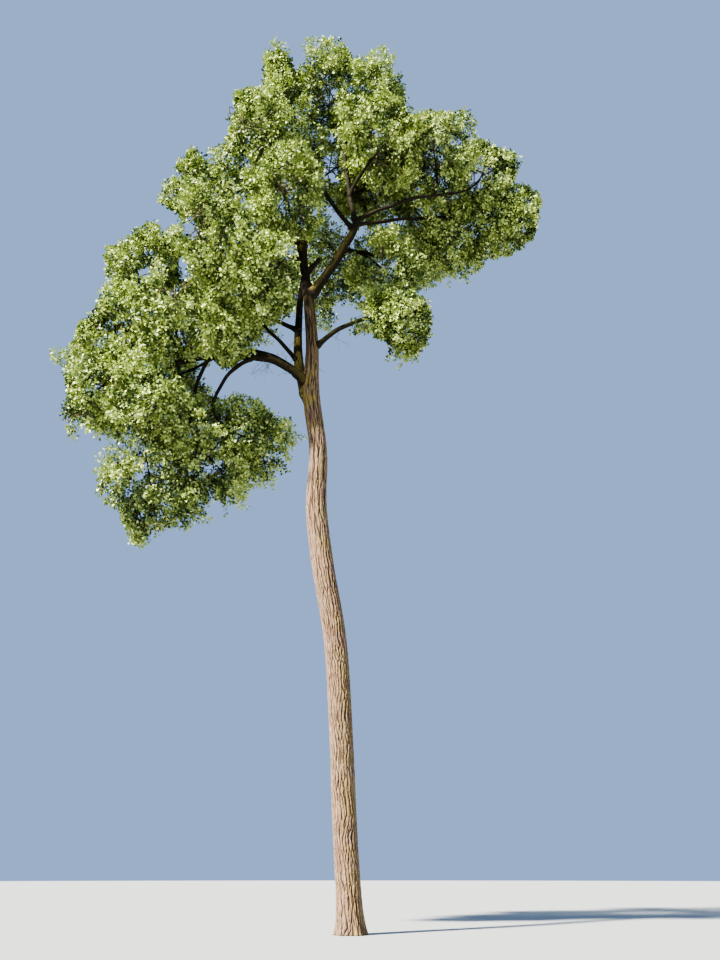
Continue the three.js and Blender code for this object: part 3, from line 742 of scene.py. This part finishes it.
def mesh_piece(name, points, faces, material, nodes, values=None):
    """A piece of triangles, with its material and the nodes that it stands for"""
    mesh = bpy.data.meshes.new(name)
    mesh.vertices.add(len(points))
    mesh.vertices.foreach_set("co", points.astype(np.float32).ravel())
    mesh.loops.add(faces.size)
    mesh.loops.foreach_set("vertex_index", faces.astype(np.int32).ravel())
    mesh.polygons.add(len(faces))
    mesh.polygons.foreach_set("loop_start", np.arange(0, faces.size, 3, dtype=np.int32))
    for key, row in (values or {}).items():
        layer = mesh.attributes.new(key, "FLOAT", "POINT")
        layer.data.foreach_set("value", row.astype(np.float32))
    mesh.update(calc_edges=True)
    mesh.materials.append(material)
    piece = add_object(name, mesh)
    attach(piece, "root")
    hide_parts(*nodes)
    return piece


# Bark: two slanting sets of furrows that cross in long diamonds. Spacing is that of two
# furrows round a limb, and run is the length of a diamond. Noise makes the furrows drift, more
# by its broad waves than its small ones, and fade. Its cells are so many to a metre in X, Y
# and Z, and its shifts keep one set of furrows unlike the other.
FURROW_SPACING = 0.088
FURROW_RUN = 0.62
FURROW_EDGE = 0.68
FURROW_WANDER = 1.5
FURROW_DRIFT = (2.2, 2.2, 1.3)
DRIFT_SHIFT = 5
SMALL_DRIFT = 2.7
SMALL_DRIFT_SHIFT = -3
SMALL_DRIFT_SHARE = 0.4
FURROW_FADE = (6, 6, 2.2)
FADE_SHIFT = 11
FADE_STEP = (-0.35, 0.2)
SHALLOWEST = 0.35
# Between these lengths from a limb's foot its ridges join by twos
RIDGES_JOIN = (8, 15)
# Small cracks and roughness
CRACK_CELLS = (30, 30, 6)
CRACK_WIDTH = 0.12
CRACK_SHARE = 0.3
ROUGH_CELLS = (50, 50, 22)
ROUGH_SHARE = 0.12
TRUNK_SIDES = 150
TRUNK_RINGS = 540
TRUNK_DEPTH = (0.044, 0.034)
BOUGH_RING_STEP = 0.045
BOUGH_SIDE_STEP = 0.026
BOUGH_SIDES = (12, 40)
BOUGH_DEPTH = 0.085
STEM_SIDES = 10
STEM_RING_STEP = 0.12
# Where the furrows of each bough and stem start, so that no two are alike
BOUGH_PHASE = 3.7
FIRST_PHASE = 1
STEM_PHASE = 5.1
# A limb swells where it leaves its parent, and is rounded off at its end
COLLAR = 0.42
COLLAR_FALL = 0.9
END_ROUND = 2.6
END_LEFT = 0.03
BLUNT_ROUND = 0.8
BLUNT = ("arm_left", "stub_broken")
# A burr swells the end of one arm: by how much, how long it is, and where in that length
BURR = {"arm_left": 0.5}
BURR_LENGTH = 0.4
BURR_MIDDLE = 0.5
BURR_FALL = 3
# The radii up to which bark is young and made near black as painted shade of the crown, and from
# which it is old
YOUNG_SHADE_RADII = (0.15, 0.26)
# Moss: how much each limb carries, from where to where along it, and the side that it is put on.
# On the sunny sides its bright gold also stands as painted sunlight.
SUNNY_TOP = (-0.35, -0.45, 0.8)
LEFT_SIDE = (-0.7, -0.6, 0.2)
SHADY_SIDE = (0.9, -0.35, 0.1)
MOSS = [
    ("trunk", 0.3, 0, 1, SHADY_SIDE),
    ("trunk", 0.9, 0.78, 0.81, LEFT_SIDE),
    ("stem_left", 2.4, 0, 0.5, LEFT_SIDE),
    ("arm_left", 3, 0.82, 1, SUNNY_TOP),
    ("arm_right", 0.8, 0.1, 0.8, SUNNY_TOP),
    ("limb_left_lower", 0.5, 0, 0.7, SUNNY_TOP),
    ("limb_left_upper", 0.5, 0, 0.6, SUNNY_TOP),
    ("limb_right_low", 0.8, 0.2, 0.9, SUNNY_TOP),
    ("limb_knob", 0.5, 0, 0.5, SUNNY_TOP),
]
MOSS_FADE = 0.06
MOSS_FACING = (-0.2, 0.75)
# It grows in patches, which noise of two sizes makes, and less of it is down in the furrows, so
# that their painted shade stays dark
MOSS_CELLS = 2.2
TUFT_CELLS = 9
TUFT_SHARE = 0.5
MOSS_STEP = (-0.35, 0.25)
MOSS_IN_FURROW = 0.3


# Furrows are counted from square to this direction
BARK_GUIDE = np.array([0, -1, 0.2])


def frames_along(limb, share):
    """Two directions square to a limb at each share, that turn as little as they can"""
    ahead = limb.ahead(share)
    first = [unit(np.cross(ahead[0], BARK_GUIDE))]
    for way in ahead[1:]:
        first.append(unit(first[-1] - way * np.dot(first[-1], way)))
    first = np.array(first)
    return first, np.cross(ahead, first)


def furrows(turn, run, radius, phase):
    """Height of the bark from 0 in a furrow to 1 on a ridge, at each angle and length"""
    count = 2 * max(2, round(math.pi * radius / FURROW_SPACING))
    joined = smooth(*RIDGES_JOIN, run)
    place = np.stack([
        np.cos(turn) * radius + phase,
        np.sin(turn) * radius + 2 * phase,
        run,
    ], axis=-1)
    deepest = np.zeros(turn.shape)
    for slant in (1, -1):
        drift = noise(place * FURROW_DRIFT + DRIFT_SHIFT * slant) * FURROW_WANDER
        small = noise(place * np.multiply(FURROW_DRIFT, SMALL_DRIFT) + SMALL_DRIFT_SHIFT * slant)
        drift += small * FURROW_WANDER * SMALL_DRIFT_SHARE
        line = count * turn / (2 * math.pi) + slant * run / FURROW_RUN / 2 + drift
        open_share = smooth(*FADE_STEP, noise(place * FURROW_FADE + FADE_SHIFT * slant))
        narrow = 1 - smooth(0, FURROW_EDGE, np.abs(np.sin(math.pi * line)))
        wide = 1 - smooth(0, FURROW_EDGE, np.abs(np.sin(math.pi * line / 2)))
        wall = mix(narrow, wide, joined)
        deepest = np.maximum(deepest, wall * mix(SHALLOWEST, 1, open_share))
    crack = 1 - smooth(0, CRACK_WIDTH, np.abs(noise(place * CRACK_CELLS)))
    rough = noise(place * ROUGH_CELLS)
    return 1 - deepest - CRACK_SHARE * crack * (1 - deepest) + ROUGH_SHARE * rough


def tube_faces(rings, sides):
    """Triangles between rings of points, with a point in the middle of each end"""
    ring = np.arange(rings - 1)[:, None] * sides
    side = np.arange(sides)
    a, b = ring + side, ring + (side + 1) % sides
    walls = np.stack([a, b, b + sides, a, b + sides, a + sides], axis=-1).reshape(-1, 3)
    top = (rings - 1) * sides
    foot_point, tip_point = rings * sides, rings * sides + 1
    foot = np.stack([(side + 1) % sides, side, np.full(sides, foot_point)], axis=-1)
    tip = np.stack([top + side, top + (side + 1) % sides, np.full(sides, tip_point)], axis=-1)
    return np.concatenate([walls, foot, tip])


def swelling(limb, share, radius, parent):
    """How much a limb swells where its axis goes out through its parent's skin"""
    apart = np.linalg.norm(limb.at(share)[:, None] - parent.points[None], axis=-1)
    gap = (apart - parent.radii[None]).min(axis=1)
    return 1 + COLLAR * np.exp(-np.abs(gap) / (COLLAR_FALL * radius))


def rounding(limb, share, radius, rounds):
    """How a limb's radius dies away over its last stretch"""
    left = (1 - share) * limb.length / (rounds * radius[-1])
    return np.sqrt(1 - (1 - np.clip(left, END_LEFT, 1)) ** 2)


def moss_on(name, share, outward, points):
    """How mossy the bark is at each point; bright moss on the sun-facing sides also stands as
    painted sunlight
    """
    patches = noise(points * MOSS_CELLS) + TUFT_SHARE * noise(points * TUFT_CELLS)
    patches = smooth(*MOSS_STEP, patches)
    moss = np.zeros(outward.shape[:-1])
    for limb, amount, start, end, way in MOSS:
        if limb == name:
            facing = smooth(*MOSS_FACING, outward @ unit(np.array(way)))
            along = smooth(start - MOSS_FADE, start, share) * smooth(end + MOSS_FADE, end, share)
            moss += amount * facing * patches * along[:, None]
    return np.clip(moss, 0, 1)


def bark_tube(name, limb, share, radius, sides, depth, phase, level=False):
    """A limb's skin: ring points pressed in along the furrows, and values for its material"""
    turn = np.arange(sides) * 2 * math.pi / sides
    middle = limb.at(share)
    if level:
        outward = np.stack([np.cos(turn), np.sin(turn), np.zeros(sides)], axis=-1)
        outward = np.repeat(outward[None], len(share), axis=0)
    else:
        first, second = frames_along(limb, share)
        outward = first[:, None] * np.cos(turn)[:, None]
        outward = outward + second[:, None] * np.sin(turn)[:, None]
    turns, runs = np.meshgrid(turn, share * limb.length)
    height = furrows(turns, runs, np.mean(limb.radii), phase)
    pressed = radius - depth[:, None] * (1 - height)
    points = middle[:, None] + outward * pressed[..., None]
    moss = moss_on(name, share, outward, points)
    # Less moss in the furrows keeps their painted shade dark
    moss = moss * mix(MOSS_IN_FURROW, 1, np.clip(height, 0, 1))
    ends = middle[[0, -1]]
    count = len(share) * sides
    # Thin limbs are marked for the near-black bark that paints the crown's shade on them
    thin = 1 - smooth(*YOUNG_SHADE_RADII, limb.radius(share))
    values = {
        "relief": np.concatenate([np.clip(height, 0, 1).ravel(), [0.5, 0.5]]),
        "moss": np.concatenate([moss.ravel(), [0, moss[-1].mean()]]),
        "young_shade": np.concatenate([np.repeat(thin, sides), [thin[0], thin[-1]]]),
    }
    return np.concatenate([points.reshape(count, 3), ends]), values


def joined_tubes(tubes):
    """One list of points, faces and values from many tubes"""
    points, faces = joined([(skin, tube_faces(*size)) for *size, (skin, _) in tubes])
    rows = [row for *_, (_, row) in tubes]
    values = {key: np.concatenate([row[key] for row in rows]) for key in rows[0]}
    return points, faces, values


def trunk_bark(trunk):
    """The trunk's skin, with its lobed flare at the root"""
    share = np.linspace(0, 1, TRUNK_RINGS)
    height = trunk.at(share)[:, 2]
    fall = np.exp(-height / FLARE_FALL)
    turn = np.arange(TRUNK_SIDES) * 2 * math.pi / TRUNK_SIDES
    lobes = 1 + BUTTRESS_DEPTH * fall[:, None] * np.cos(BUTTRESSES * turn)
    radius = trunk.radius(share)
    radius = radius * rounding(trunk, share, radius, BLUNT_ROUND)
    radius = (radius + FLARE * fall)[:, None] * lobes
    depth = mix(*TRUNK_DEPTH, share)
    skin = bark_tube("trunk", trunk, share, radius, TRUNK_SIDES, depth, 0, level=True)
    return TRUNK_RINGS, TRUNK_SIDES, skin


def bough_bark(bough, index, limbs, carried):
    """A bough's skin, its rings and sides as close as its thickness needs"""
    limb = limbs[bough.name]
    rings = int(limb.length / BOUGH_RING_STEP) + 2
    sides = int(np.clip(2 * math.pi * bough.thick / BOUGH_SIDE_STEP, *BOUGH_SIDES))
    share = np.linspace(0, 1, rings)
    radius = limb.radius(share)
    depth = radius * BOUGH_DEPTH
    full = radius * swelling(limb, share, radius, limbs[bough.on])
    burr = BURR.get(bough.name, 0)
    from_burr = (1 - share) * limb.length / BURR_LENGTH - BURR_MIDDLE
    full = full * (1 + burr * np.exp(-(from_burr ** 2) * BURR_FALL))
    if not carried:
        rounds = BLUNT_ROUND if bough.name in BLUNT else END_ROUND
        full = full * rounding(limb, share, radius, rounds)
    phase = BOUGH_PHASE * index + FIRST_PHASE
    return rings, sides, bark_tube(bough.name, limb, share, full[:, None], sides, depth, phase)


def stem_bark(mass, index, stem, parent):
    """The skin of the stem in a mass"""
    rings = int(stem.length / STEM_RING_STEP) + 2
    share = np.linspace(0, 1, rings)
    radius = stem.radius(share)
    full = radius.copy()
    if mass.along < 1:
        full *= swelling(stem, share, radius, parent)
    skin = bark_tube(
        mass.name,
        stem,
        share,
        full[:, None],
        STEM_SIDES,
        radius * BOUGH_DEPTH,
        STEM_PHASE * index,
    )
    return rings, STEM_SIDES, skin


# Colours of bark, moss and twigs
RIDGE_PINK = (0.46, 0.315, 0.22, 1)
RIDGE_GREY = (0.4, 0.32, 0.215, 1)
# Flank and furrow colours are painted shade: bark is made darker the lower its relief, near black
# in the furrows. The flank colour also makes dark flecks on the ridges.
FLECK_AND_PAINTED_FLANK_SHADE = (0.19, 0.12, 0.08, 1)
FURROW_PAINTED_SHADE = (0.04, 0.028, 0.02, 1)
# Bark of thin limbs is near black: painted shade of the crown on them
YOUNG_BARK_PAINTED_SHADE = (0.015, 0.012, 0.008, 1)
YOUNG_FLECK_PAINTED_SHADE = (0.058, 0.046, 0.027, 1)
# Moss is real, and its bright gold on the sun-facing sides is also painted sunlight
MOSS_GOLD_AND_PAINTED_SUN = (0.56, 0.44, 0.13, 1)
MOSS_DARK = (0.19, 0.145, 0.045, 1)
TWIG_BROWN = (0.12, 0.09, 0.06, 1)
TWIG_OLIVE = (0.19, 0.17, 0.085, 1)
# Leaf tones as painted light and shade, from the sunniest sprays to the deepest, and the waxy
# pale one mixed in by leaf, partly paler undersides and partly painted glints
LEAF_LIGHT_AND_SHADE_TONES = {
    "pale": (0.74, 0.83, 0.4, 1),
    "bright": (0.445, 0.535, 0.175, 1),
    "yellow": (0.335, 0.4, 0.115, 1),
    "mid": (0.18, 0.255, 0.08, 1),
    "deep": (0.065, 0.105, 0.03, 1),
    "shade": (0.03, 0.052, 0.015, 1),
}


# Noise in the materials, in cells to a metre, and the step that each is spread over
PATCH_CELLS = 1.3
FLECK_CELLS = 38
GRAIN_CELLS = 90
MOSS_TUFT_CELLS = 60
TWIG_CELLS = 7
TWIG_GRAIN_CELLS = 160
VEIN_CELLS = 150
# Flecks and grain in bark are this much shorter across than along it
ALONG_BARK = 0.16
PATCH_STEP = (0.35, 0.65)
FLECK_STEP = (0.35, 0.7)
TUFT_STEP = (0.3, 0.7)
# Heights of the bark over which the painted shade of a furrow turns to its flank, and the flank's
# painted shade to the ridge
FURROW_STEP = (0.18, 0.6)
RIDGE_STEP = (0.45, 0.95)


def new_material(name):
    material = bpy.data.materials.new(name)
    material.use_nodes = True
    tree = material.node_tree
    return material, tree, tree.nodes["Principled BSDF"]


def add_node(tree, kind, inputs=(), **settings):
    """A node with its settings made and its inputs set or linked"""
    made = tree.nodes.new(kind)
    for key, value in settings.items():
        setattr(made, key, value)
    for key, value in dict(inputs).items():
        if isinstance(value, bpy.types.NodeSocket):
            tree.links.new(value, made.inputs[key])
        else:
            made.inputs[key].default_value = value
    return made


# A mix node's sockets for colours, by number, because several of them have the same name
MIX_SHARE, MIX_LOW, MIX_HIGH, MIXED = 0, 6, 7, 2


def colour_mix(tree, share, low, high):
    """One colour at a share of 0 and another at 1"""
    inputs = {MIX_SHARE: share, MIX_LOW: low, MIX_HIGH: high}
    return add_node(tree, "ShaderNodeMix", inputs, data_type="RGBA").outputs[MIXED]


def stepped(tree, value, low, high):
    """A value spread from low to high over 0 to 1"""
    inputs = {"Value": value, "From Min": low, "From Max": high}
    return add_node(tree, "ShaderNodeMapRange", inputs).outputs["Result"]


def noise_node(tree, place, scale, detail=3):
    inputs = {"Vector": place, "Scale": scale, "Detail": detail}
    return add_node(tree, "ShaderNodeTexNoise", inputs).outputs["Fac"]


def object_place(tree, stretch):
    """Object coordinates, stretched along Z"""
    place = add_node(tree, "ShaderNodeTexCoord").outputs["Object"]
    inputs = {"Vector": place, "Scale": (1, 1, stretch)}
    return add_node(tree, "ShaderNodeMapping", inputs).outputs["Vector"]


def mesh_value(tree, name):
    return add_node(tree, "ShaderNodeAttribute", attribute_name=name).outputs["Fac"]


def add_bump(tree, shader, height, strength, distance):
    """Fine relief that only the light shows, this many metres high at most"""
    inputs = {"Height": height, "Strength": strength, "Distance": distance}
    bump = add_node(tree, "ShaderNodeBump", inputs)
    tree.links.new(bump.outputs["Normal"], shader.inputs["Normal"])


def bark_material():
    material, tree, shader = new_material("poplar_bark")
    place = object_place(tree, 1)
    long_place = object_place(tree, ALONG_BARK)
    relief, young_shade, moss = (mesh_value(tree, name) for name in ("relief", "young_shade", "moss"))
    patch = stepped(tree, noise_node(tree, place, PATCH_CELLS), *PATCH_STEP)
    fleck = stepped(tree, noise_node(tree, long_place, FLECK_CELLS, detail=4), *FLECK_STEP)
    ridge = colour_mix(tree, patch, RIDGE_PINK, RIDGE_GREY)
    ridge = colour_mix(tree, fleck, FLECK_AND_PAINTED_FLANK_SHADE, ridge)
    # Painted shade: the lower the bark's relief, the darker it is made, down to near black in the
    # furrows
    ridge = colour_mix(tree, stepped(tree, relief, *RIDGE_STEP), FLECK_AND_PAINTED_FLANK_SHADE, ridge)
    old = colour_mix(tree, stepped(tree, relief, *FURROW_STEP), FURROW_PAINTED_SHADE, ridge)
    # Painted shade: bark of thin limbs is near black, for the crown's shade on them
    thin = colour_mix(tree, fleck, YOUNG_BARK_PAINTED_SHADE, YOUNG_FLECK_PAINTED_SHADE)
    bark = colour_mix(tree, young_shade, old, thin)
    tuft = stepped(tree, noise_node(tree, place, MOSS_TUFT_CELLS), *TUFT_STEP)
    green = colour_mix(tree, tuft, MOSS_DARK, MOSS_GOLD_AND_PAINTED_SUN)
    tree.links.new(colour_mix(tree, moss, bark, green), shader.inputs["Base Color"])
    shader.inputs["Roughness"].default_value = 0.88
    shader.inputs["Specular IOR Level"].default_value = 0.25
    grain = noise_node(tree, long_place, GRAIN_CELLS, detail=5)
    add_bump(tree, shader, grain, strength=0.7, distance=0.008)
    return material


def twig_material():
    material, tree, shader = new_material("poplar_twig")
    place = object_place(tree, 1)
    share = stepped(tree, noise_node(tree, place, TWIG_CELLS), *PATCH_STEP)
    colour = colour_mix(tree, share, TWIG_BROWN, TWIG_OLIVE)
    tree.links.new(colour, shader.inputs["Base Color"])
    shader.inputs["Roughness"].default_value = 0.75
    grain = noise_node(tree, place, TWIG_GRAIN_CELLS)
    add_bump(tree, shader, grain, strength=0.5, distance=0.002)
    return material


def leaf_material(tone, colour):
    """One tone of leaf, a lit or shaded copy of one green as painted light and shade. Its colour
    is plain, because a tone is dealt to whole sprays.
    """
    material, tree, shader = new_material("poplar_leaf_" + tone)
    shader.inputs["Base Color"].default_value = colour
    shader.inputs["Roughness"].default_value = 0.4
    shader.inputs["Specular IOR Level"].default_value = 0.35
    veins = noise_node(tree, object_place(tree, 1), VEIN_CELLS)
    add_bump(tree, shader, veins, strength=0.5, distance=0.004)
    return material


# Sun: where it stands, how strong and how soft it is. Sky and floor are plain.
SUN_HEADING = 220
SUN_RISE = 43
SUN_STRENGTH = 12.5
SUN_SOFTNESS = math.radians(4)
SUN_COLOUR = (1.0, 0.96, 0.88)
SKY = (0.45, 0.64, 1.0, 1)
SKY_STRENGTH = 0.62
FLOOR_RADIUS = 160
FLOOR_SIDES = 96
FLOOR_DROP = 0.002
FLOOR_PALE = (0.40, 0.40, 0.38, 1)


# A leaf's tone is painted light and shade: it comes from how far out in its mass and how sunny
# its shoot is, with some luck by spray and by shoot. Some leaves are a tone lighter or darker,
# and a few are pale.
SUNNY_SHARE = 0.12
OUTER_SHARE = 0.9
OUTER_MIDDLE = 0.75
TONE_LIFT = 0.04
SPRAY_LUCK = 0.14
SHOOT_LUCK = 0.26
TONE_EDGES = (-0.55, -0.2, 0.12, 0.3)
NEXT_TONE = (0.28, 0.44, 0.28)
PALE_SHARE = 0.1


def leaf_tones(shoots, owner, rng):
    """Which tone each leaf has, as its number in LEAF_LIGHT_AND_SHADE_TONES"""
    last = len(LEAF_LIGHT_AND_SHADE_TONES) - 1
    sprays = shoots.spray.max() + 1
    luck = rng.normal(0, SPRAY_LUCK, sprays)[shoots.spray]
    luck = luck + rng.normal(0, SHOOT_LUCK, len(shoots))
    out = unit(shoots.tip - CENTRES[shoots.mass])
    sunny = out @ direction(SUN_HEADING, SUN_RISE)
    outer = depth_in(shoots.tip, shoots.mass) - OUTER_MIDDLE
    # Painted light and shade: shoots facing the sun and far out in their mass get lighter tones,
    # deep ones darker
    score = SUNNY_SHARE * sunny + TONE_LIFT + OUTER_SHARE * outer + luck
    tone = (last - np.searchsorted(TONE_EDGES, score))[owner]
    tone = np.clip(tone + rng.choice((-1, 0, 1), len(owner), p=NEXT_TONE), 1, last)
    # A few leaves are dealt the pale tone: paler undersides, and painted glints
    return np.where(rng.random(len(owner)) < PALE_SHARE, 0, tone)


def add_foliage(limbs, foliage_nodes):
    """Twigs and leaves of every mass, joined by kind and tone"""
    rng = np.random.default_rng(SEED)
    stems = [stem_limb(mass, limbs) for mass in MASSES]
    first = first_twigs(stems, rng)
    sides = side_twigs(
        first, SIDE_TWIGS, SIDE_START, SIDE_SPREAD, SIDE_LENGTH, SIDE_THICK, SHOOT_THICK, 0, rng
    )
    sides = sides.picked(in_own_space(sides))
    shoots = side_twigs(
        sides, SHOOTS, SHOOT_START, SHOOT_SPREAD, SHOOT_LENGTH,
        SHOOT_THICK, SHOOT_TIP, SHOOT_SAG, rng,
    )
    shoots = shoots.picked(leafy(shoots, limbs, rng))
    bare = bare_twigs(limbs, np.random.default_rng(SEED))
    points, faces = joined([
        twig_shape(first, segments=6, sides=5),
        twig_shape(sides, segments=3, sides=3),
        twig_shape(shoots, segments=1, sides=3),
        twig_shape(bare, segments=4, sides=3),
    ])
    mesh_piece("twigs", points, faces, twig_material(), foliage_nodes)
    leaves, owner = leaf_points(shoots, rng)
    inside = np.all((leaves > BOX_LOW) & (leaves < BOX_HIGH), axis=(1, 2))
    leaves, owner = leaves[inside], owner[inside]
    tones = leaf_tones(shoots, owner, rng)
    for index, (tone, colour) in enumerate(LEAF_LIGHT_AND_SHADE_TONES.items()):
        material = leaf_material(tone, colour)
        chosen = leaves[tones == index]
        pieces = math.ceil(len(chosen) / LEAVES_A_PIECE)
        for i, group in enumerate(np.array_split(chosen, pieces)):
            points, faces = spread_out(group, LEAF_FACES)
            name = f"leaves_{tone}_{i + 1}"
            mesh_piece(name, points, faces, material, foliage_nodes)
    return stems


def add_bark(limbs, stems, foliage_nodes):
    """The furrowed trunk, the boughs and the stems in the masses, as three pieces"""
    carried = {mass.on for mass in MASSES if mass.along == 1}
    trunk = [trunk_bark(limbs["trunk"])]
    boughs = [
        bough_bark(bough, index, limbs, bough.name in carried)
        for index, bough in enumerate(BOUGHS)
    ]
    inner = [
        stem_bark(mass, index, stem, limbs[mass.on])
        for index, (mass, stem) in enumerate(zip(MASSES, stems))
    ]
    pieces = [
        ("bark_trunk", trunk, ["trunk"]),
        ("bark_boughs", boughs, [bough.name for bough in BOUGHS]),
        ("bark_stems", inner, foliage_nodes),
    ]
    material = bark_material()
    for name, tubes, nodes in pieces:
        points, faces, values = joined_tubes(tubes)
        piece = mesh_piece(name, points, faces, material, nodes, values)
        piece.data.polygons.foreach_set("use_smooth", np.ones(len(faces), bool))


def add_floor():
    turn = np.linspace(0, 2 * math.pi, FLOOR_SIDES, endpoint=False)
    rim = [(FLOOR_RADIUS * math.cos(t), FLOOR_RADIUS * math.sin(t), -FLOOR_DROP) for t in turn]
    mesh = bpy.data.meshes.new("floor")
    mesh.from_pydata(rim, [], [list(range(FLOOR_SIDES))])
    material, _, shader = new_material("floor_pale")
    shader.inputs["Base Color"].default_value = FLOOR_PALE
    shader.inputs["Roughness"].default_value = 0.9
    mesh.materials.append(material)
    add_object("floor", mesh)


def add_light():
    light = bpy.data.lights.new("sun", "SUN")
    light.energy = SUN_STRENGTH
    light.angle = SUN_SOFTNESS
    light.color = SUN_COLOUR
    towards = Vector(direction(SUN_HEADING, SUN_RISE))
    add_object("sun", light).rotation_euler = towards.to_track_quat("Z", "Y").to_euler()
    world = bpy.data.worlds.new("studio")
    world.use_nodes = True
    world.node_tree.nodes["Background"].inputs["Color"].default_value = SKY
    world.node_tree.nodes["Background"].inputs["Strength"].default_value = SKY_STRENGTH
    bpy.context.scene.world = world
    bpy.context.scene.view_settings.look = "AgX - High Contrast"


def add_camera():
    lens = bpy.data.cameras.new("camera")
    lens.lens = LENS
    lens.sensor_width = FILM
    lens.clip_end = FARTHEST_SEEN
    camera = add_object("camera", lens)
    camera.location = (BESIDE, -AWAY, EYE)
    camera.rotation_euler = (math.pi / 2 + TILT, 0, 0)
    bpy.context.scene.camera = camera


add_camera()
add_light()
add_floor()
limbs = {"trunk": trunk_limb()}
for index, bough in enumerate(BOUGHS):
    limbs[bough.name] = bough_limb(bough, index, limbs)
foliage_nodes = [mass.name for mass in MASSES]
stems = add_foliage(limbs, foliage_nodes)
add_bark(limbs, stems, foliage_nodes)
